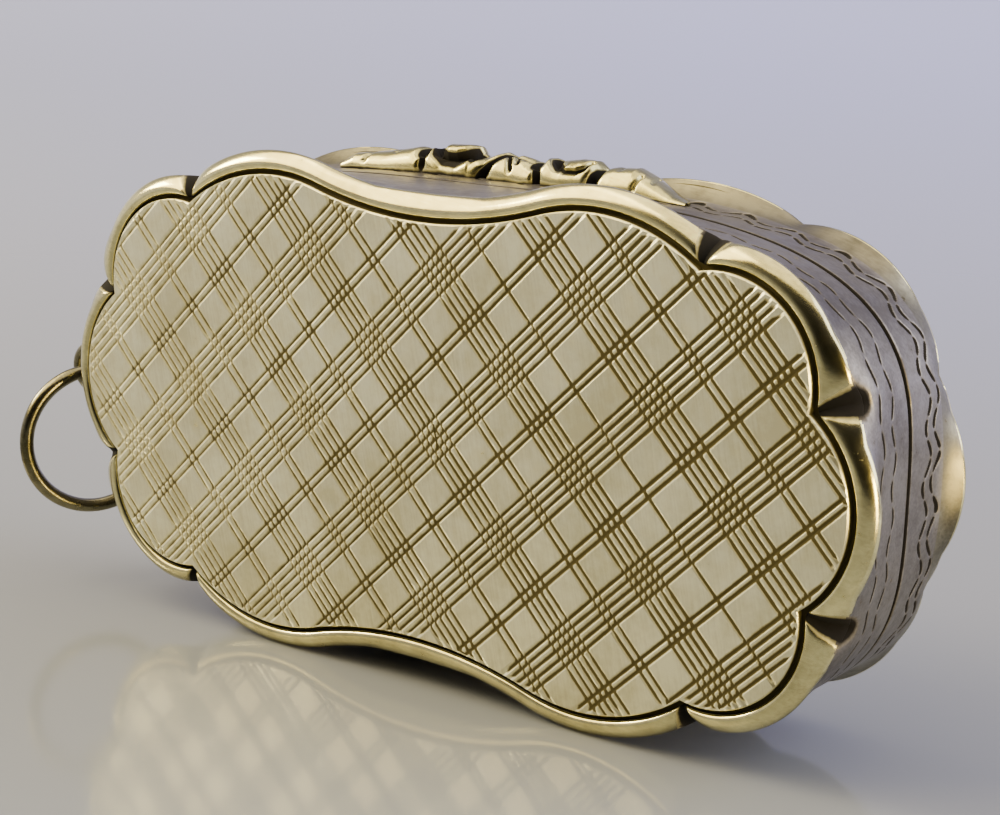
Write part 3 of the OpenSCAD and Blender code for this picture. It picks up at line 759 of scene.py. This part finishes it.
# %% Ridge and strokes of the foliage
THUMB_HALF, THUMB_FRONT, THUMB_RIDGE, THUMB_BACK, THUMB_FOOT = 8.6, 5.2, 6.1, 7.05, 9.43
RIDGE = [(-8.6, 9.6), (-8.0, 9.97), (-6.35, 10.19), (-5.2, 10.4), (-4.57, 10.54), (-3.94, 10.67),
         (-2.89, 10.71), (-1.95, 10.75), (-1.84, 10.47), (-1.22, 10.27), (-0.57, 10.61), (0.19, 10.51),
         (0.94, 10.37), (1.43, 10.53), (1.92, 10.61), (2.65, 10.51), (3.37, 10.61), (3.99, 10.58),
         (4.25, 10.34), (5.03, 10.43), (5.96, 10.47), (6.66, 10.19), (7.35, 9.87), (7.9, 9.62), (8.6, 9.45)]
STROKES = [(0.14, 0.12, [(-7.4, 0.35), (-7.3, 1.0)]), (0.10, 0.12, [(-5.9, 0.75), (-5.8, 1.1)]),
           (0.45, 0.16, [(-4.3, 0.2), (-4.33, 0.6)]), (0.60, 0.27, [(-4.33, 0.6), (-4.35, 1.1)]),
           (0.60, 0.24, [(-3.83, 1.1), (-3.6, 0.6), (-3.2, 0.42), (-2.6, 0.4), (-2.1, 0.55), (-1.75, 0.9)]),
           (0.55, 0.22, [(-0.2, 1.05), (-0.55, 0.75), (-0.87, 0.5), (-1.1, 0.2), (-1.25, 0.0)]),
           (0.22, 0.13, [(-0.4, 0.97), (0.4, 0.95), (1.3, 0.9)]), (0.30, 0.10, [(-0.06, 0.8), (0.22, 0.35)]),
           (0.24, 0.09, [(0.3, 0.95), (0.45, 0.6)]), (0.65, 0.28, [(1.38, 1.05), (1.42, 0.65)]),
           (0.55, 0.16, [(1.42, 0.65), (1.6, 0.05)]), (0.50, 0.22, [(2.1, 1.05), (2.3, 0.75), (2.5, 0.6)]),
           (0.26, 0.10, [(2.5, 0.6), (2.85, 0.42), (3.4, 0.4), (3.75, 0.55), (3.9, 0.85)]),
           (0.55, 0.20, [(4.45, 1.05), (4.35, 0.6), (4.15, 0.05)]), (0.14, 0.10, [(5.3, 0.8), (5.2, 1.1)]),
           (0.13, 0.08, [(6.35, 0.7), (6.2, 0.2)]), (0.10, 0.09, [(6.9, 0.7), (6.8, 1.1)])]
print("thumbpiece has", len(STROKES), "carved strokes")

# %% Carved foliage
def stroke_depth(across, up, deep, wide, line):
    """How deep one stroke cuts at each place, by the distance to its line."""
    near = np.full(across.shape, 9.0)
    for (x0, h0), (x1, h1) in zip(line, line[1:]):
        dx, dh = x1 - x0, (h1 - h0) * 1.3
        along_it = np.clip(((across - x0) * dx + (up - h0) * 1.3 * dh) / (dx * dx + dh * dh), 0, 1)
        near = np.minimum(near, np.hypot(across - x0 - along_it * dx, (up - h0) * 1.3 - along_it * dh))
    return deep * np.exp(-(near / wide) ** 2)


x = np.linspace(-THUMB_HALF, THUMB_HALF, 700)
across_x, turn = np.meshgrid(x, np.linspace(0, math.pi, 90))
height = np.where(turn < math.pi / 2, turn / (math.pi / 2), 1 + (turn / (math.pi / 2) - 1) * 0.8)
carved = np.zeros_like(across_x)
for deep, wide, line in STROKES:
    carved = np.maximum(carved, stroke_depth(across_x, height, deep, wide, line))
tall = np.interp(x, *zip(*RIDGE))[None, :] - THUMB_FOOT
swell = np.sin(turn) ** 0.8
narrow = np.clip((THUMB_HALF - np.abs(across_x)) / 2.2, 0.0, 1) ** 0.7 * 0.9 + 0.1
ridge_y = THUMB_RIDGE - 0.65 * (1 - narrow)
lean = np.where(turn < math.pi / 2, THUMB_FRONT - ridge_y, (THUMB_BACK - THUMB_RIDGE) * narrow)
lean = lean * np.abs(np.cos(turn)) ** 0.85
carve_in = np.minimum(carved, 0.75 * np.maximum(tall, 0.1))
rows = np.stack([across_x, ridge_y + lean + carve_in * np.clip(np.cos(turn), 0, 1) * 0.9,
                 THUMB_FOOT - 0.1 + (tall + 0.1) * swell - carve_in * np.sin(turn) * swell], axis=2)
# dirt fills the deeper carving, and dirt with painted shade lies along the foot
foot_dirt_and_shade = 0.85 * np.exp(-(turn / 0.2) ** 2)
thumb = bent_strip("foliate_thumbpiece", rows, np.maximum((carved - 0.07) / 0.14, foot_dirt_and_shade))
bpy.context.view_layer.objects.active = thumb
bpy.ops.object.mode_set(mode="EDIT")
bpy.ops.mesh.select_all(action="DESELECT")
bpy.ops.mesh.select_non_manifold()
bpy.ops.mesh.fill()
bpy.ops.object.mode_set(mode="OBJECT")
tidy_mesh(thumb)
settle(thumb, "lid", "silver", cast_silver, "thumbpiece", angle=60)

# %% [markdown]
# ## Ring and lug
# The ring is plain round wire, closed with a soldered joint and worn thin where it rides in the lug. A torus
# is the start, its wire is then thinned at the top, and a line of dirt marks the joint. The lug is a small loop
# on a post with a spread foot.

# %% Suspension ring
LUG_X, LUG_Y, LUG_Z, LUG_R, LUG_WIRE = -20.85, 2.1, -0.6, 0.9, 0.3
RING_R, RING_WIRE, RING_TURN, RING_TOP = 3.2, 0.33, math.radians(66), -0.735
start_fresh()
bpy.ops.mesh.primitive_torus_add(major_radius=RING_R, minor_radius=RING_WIRE, major_segments=128,
                                 minor_segments=28)
ring = bpy.context.object
ring.name = ring.data.name = "wire_suspension_ring"
points = points_of(ring)
turn = np.arctan2(points[:, 1], points[:, 0])
wire = np.column_stack([np.cos(turn), np.sin(turn), np.zeros(len(turn))])
worn = 1 - 0.16 * np.exp(-((turn - math.pi / 2) / 0.25) ** 2) - 0.05 * np.cos(2 * turn) ** 2
set_points(ring, wire * RING_R + (points - wire * RING_R) * worn[:, None])
set_dirt_and_shade(ring, 0.75 * np.exp(-((turn + 1.2) / 0.035) ** 2))
ring.data.transform(Matrix.Translation((LUG_X, LUG_Y, RING_TOP - RING_R)) @ Matrix.Rotation(RING_TURN, 4, "Z")
                    @ Matrix.Rotation(math.pi / 2, 4, "X"))
settle(ring, "ring", "silver", ring_silver, "suspension_ring", angle=60)

# %% Lug
start_fresh()
bpy.ops.mesh.primitive_torus_add(major_radius=LUG_R, minor_radius=LUG_WIRE, major_segments=64,
                                 minor_segments=24, location=(LUG_X, LUG_Y, LUG_Z),
                                 rotation=(math.pi / 2, 0, 0))
lug = bpy.context.object
lug.name = lug.data.name = "ring_lug_loop"
bpy.ops.object.transform_apply(location=True, rotation=True, scale=True)
POST_LONG, POST_R = 1.3, 0.34
start_fresh()
bpy.ops.mesh.primitive_cylinder_add(vertices=40, radius=POST_R, depth=POST_LONG, end_fill_type="NGON",
                                    location=(LUG_X + LUG_R + POST_LONG / 2, LUG_Y, LUG_Z),
                                    rotation=(0, math.pi / 2, 0))
post = bpy.context.object
bpy.ops.object.transform_apply(location=True, rotation=True, scale=True)
bpy.ops.object.mode_set(mode="EDIT")
bpy.ops.mesh.select_all(action="SELECT")
bpy.ops.mesh.bisect(plane_co=(LUG_X + LUG_R + 0.35, 0, 0), plane_no=(1, 0, 0))
bpy.ops.mesh.select_all(action="SELECT")
bpy.ops.mesh.bisect(plane_co=(LUG_X + LUG_R + 0.6, 0, 0), plane_no=(1, 0, 0))
bpy.ops.object.mode_set(mode="OBJECT")
points = points_of(post)
spread = 1 + 0.22 * np.clip((points[:, 0] - (LUG_X + LUG_R + 0.3)) / 0.5, 0, 1) ** 2
points[:, 1] = LUG_Y + (points[:, 1] - LUG_Y) * spread
points[:, 2] = LUG_Z + (points[:, 2] - LUG_Z) * spread
set_points(post, points)
cut_with(lug, post, "UNION")
modify(lug, "BEVEL", width=0.05, segments=3, limit_method="ANGLE", angle_limit=math.radians(35))
points = points_of(lug)
set_dirt_and_shade(lug, 0.8 * np.exp(-((points[:, 0] - (LUG_X + LUG_R + 0.12)) / 0.12) ** 2))
settle(lug, "base", "silver", ring_silver, "ring_lug", angle=60)

# %% [markdown]
# ## Pieces that keep their CAD shape
# Hinges, bezel, ledge and grille already have the right shape. Real ones have no knife edges, so each is a
# copy of its CAD node with the points merged, the flat triangles joined and the edges eased by a bevel. The
# grille's two lower cusps are also drawn in, to clear the bezel as the grille swings.

# %% Eased copies
GRILLE_CUSP_X, GRILLE_CUSP_Z, DRAWN_IN = 15.2, -6.7, 0.022


def eased_copy(node, name, ease):
    """A copy of a CAD node with its loose triangles merged and its edges eased."""
    piece = bpy.data.objects.new(name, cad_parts[node].data.copy())
    bpy.context.collection.objects.link(piece)
    piece.data.transform(Matrix.Scale(1 / MM, 4))
    tidy_mesh(piece)
    bpy.ops.object.mode_set(mode="EDIT")
    bpy.ops.mesh.select_all(action="SELECT")
    bpy.ops.mesh.dissolve_limited(angle_limit=math.radians(0.5))
    bpy.ops.object.mode_set(mode="OBJECT")
    modify(piece, "BEVEL", width=ease, segments=2, limit_method="ANGLE", angle_limit=math.radians(55))
    return piece


def draw_in_corners(plate):
    """The grille's lower cusps drawn in by a third of a millimetre."""
    points = points_of(plate)
    near = np.exp(-((np.abs(points[:, 0]) - GRILLE_CUSP_X) / 1.2) ** 2 - (points[:, 2] - GRILLE_CUSP_Z) ** 2)
    set_points(plate, points * (1 - DRAWN_IN * near[:, None] * (1, 0, 1)))


EASED = [("base_bezel", "bezel_strip", "base", 0.05, "silver", wall_silver),
         ("grille_ledge", "grille_ledge_strip", "base", 0.05, "silver", wall_silver),
         ("base_hinge_tubes", "base_hinge_knuckles", "base", 0.04, "silver", wall_silver),
         ("lid_hinge_tubes", "lid_hinge_knuckles", "lid", 0.04, "silver", wall_silver),
         ("lid_hinge_pin", "lid_hinge_wire", "base", 0.05, "silver", wall_silver),
         ("grille_hinge_brackets", "grille_hinge_arms", "base", 0.03, "gilt_silver", gilt),
         ("grille_hinge_pin", "grille_hinge_wire", "base", 0.04, "gilt_silver", gilt),
         ("grille", "pierced_grille_plate", "grille", 0.04, "gilt_silver", gilt),
         ("grille_hinge_tube", "grille_hinge_knuckle", "grille", 0.03, "gilt_silver", gilt),
         ("grille_tab", "grille_lifting_tab", "grille", 0.06, "gilt_silver", gilt)]
for node, name, body, ease, slot_name, finish in EASED:
    piece = eased_copy(node, name, ease)
    if node == "grille":
        draw_in_corners(piece)
    settle(piece, body, slot_name, finish, node)

# %% [markdown]
# ## Sponge
# A slice of natural sponge fills the base under the grille. Its CAD solid is a plain slab. A voxel remesh of a
# copy gives even points, and each point then sinks by a cell pattern, which opens pores of about 0.8 mm.

# %% Porous sponge
sponge = bpy.data.objects.new("natural_sponge_slice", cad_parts["sponge"].data.copy())
bpy.context.collection.objects.link(sponge)
sponge.data.transform(Matrix.Scale(1 / MM, 4))
tidy_mesh(sponge)
modify(sponge, "REMESH", mode="VOXEL", voxel_size=0.2)
modify(sponge, "SMOOTH", factor=0.5, iterations=6)
normals = np.empty(len(sponge.data.vertices) * 3)
sponge.data.vertices.foreach_get("normal", normals)
points = points_of(sponge)
sink = np.array([max(0.0, 0.45 - noise.voronoi(Vector(p) * 1.3)[0][0]) * 0.9
                 + 0.08 * abs(noise.noise(Vector(p) * 2.9)) for p in points])
set_points(sponge, points - normals.reshape(-1, 3) * (sink + 0.04)[:, None])
settle(sponge, "base", "sponge", sponge_fibre, "sponge", angle=180)

# %% [markdown]
# ## Stage
# A wide glossy sheet lies under the box. Seen at a low slant it mirrors the pale wall far behind, and close by
# it mirrors the box. A window and a card at the left light the front, fills light the top and the right end,
# and a small card gives the lid's end its glint. The room on the near right is dark, which gives the polished
# rims their black reflections.

# %% Sheet
FLOOR_Z = -HALF_WIDTH
start_fresh()
bpy.ops.mesh.primitive_circle_add(vertices=96, radius=1.6, fill_type="NGON", location=(0, 0, FLOOR_Z * MM))
sheet = bpy.context.object
sheet.name = sheet.data.name = "glossy_sheet"
bpy.ops.object.transform_apply(location=True, rotation=True, scale=True)


def coated_sheet():
    """Coated card: pale grey with a smooth sheen that mirrors the box softly."""
    material, tree = new_material("coated_card")
    shader = add(tree, "ShaderNodeBsdfPrincipled", Base_Color=colour("#7E838D"), Roughness=0.11, IOR=1.42)
    add(tree, "ShaderNodeOutputMaterial", Surface=shader.outputs[0])
    return material


sheet.data.materials.append(coated_sheet())
print("sheet lies at", FLOOR_Z, "mm")

# %% Lamps and sky
def lamp(name, place, size, watts, code):
    """A square soft lamp, placed in mm and turned to the middle of the box."""
    start_fresh()
    bpy.ops.object.light_add(type="AREA", location=Vector(place) * MM)
    light = bpy.context.object
    light.name = name
    light.data.size = size * MM
    light.data.energy = watts
    light.data.color = colour(code)[:3]
    light.rotation_euler = (Vector((0, SEAM, 0)) - Vector(place)).to_track_quat("-Z", "Y").to_euler()


lamp("window_key", (-170, -110, 190), 240, 1.12, "#FFE6A6")
lamp("left_card", (-250, -83, 140), 80, 0.8, "#FFEFC4")
lamp("right_card", (265, -40, 20), 60, 0.55, "#FFDE88")
lamp("right_fill", (230, 110, 150), 260, 1.1, "#F6F3F6")
lamp("ceiling_fill", (20, -30, 320), 420, 1.3, "#FFECBE")


def studio_room():
    """A room with a pale lavender wall behind and to the left, and dark on the near right."""
    room_world = bpy.data.worlds.new("studio_room")
    room_world.use_nodes = True
    tree = room_world.node_tree
    tree.nodes.clear()
    way = add(tree, "ShaderNodeTexCoord").outputs["Generated"]
    facing = add(tree, "ShaderNodeVectorMath", {"operation": "DOT_PRODUCT"}, _0=way, _1=(-0.64, 0.77, 0.0))
    pale = add(tree, "ShaderNodeMapRange", {"interpolation_type": "SMOOTHSTEP"}, Value=facing.outputs["Value"],
               From_Min=-1.0, From_Max=0.55)
    # warm at the left, lavender at the right
    aside = add(tree, "ShaderNodeVectorMath", {"operation": "DOT_PRODUCT"}, _0=way, _1=(0.77, 0.64, 0.0))
    hue = add(tree, "ShaderNodeMapRange", Value=aside.outputs["Value"], From_Min=-0.35, From_Max=0.15)
    wall_tone = add(tree, "ShaderNodeMix", {"data_type": "RGBA"}, _0=hue.outputs[0], _6=colour("#D2CCCC"),
                    _7=colour("#D0CDF6"))
    # the wall is brightest low down, under a dim ceiling
    height = add(tree, "ShaderNodeSeparateXYZ", Vector=way)
    low = add(tree, "ShaderNodeMapRange", {"interpolation_type": "SMOOTHSTEP"}, Value=height.outputs["Z"],
              From_Min=0.06, From_Max=0.38, To_Min=1.0, To_Max=0.4)
    bright = add(tree, "ShaderNodeMath", {"operation": "MULTIPLY"}, _0=pale.outputs[0], _1=low.outputs[0])
    tone = add(tree, "ShaderNodeMix", {"data_type": "RGBA"}, _0=bright.outputs[0], _6=colour("#101010"),
               _7=wall_tone.outputs[2])
    sky = add(tree, "ShaderNodeBackground", Color=tone.outputs[2], Strength=1.8)
    add(tree, "ShaderNodeOutputWorld", Surface=sky.outputs[0])
    return room_world


bpy.context.scene.world = studio_room()
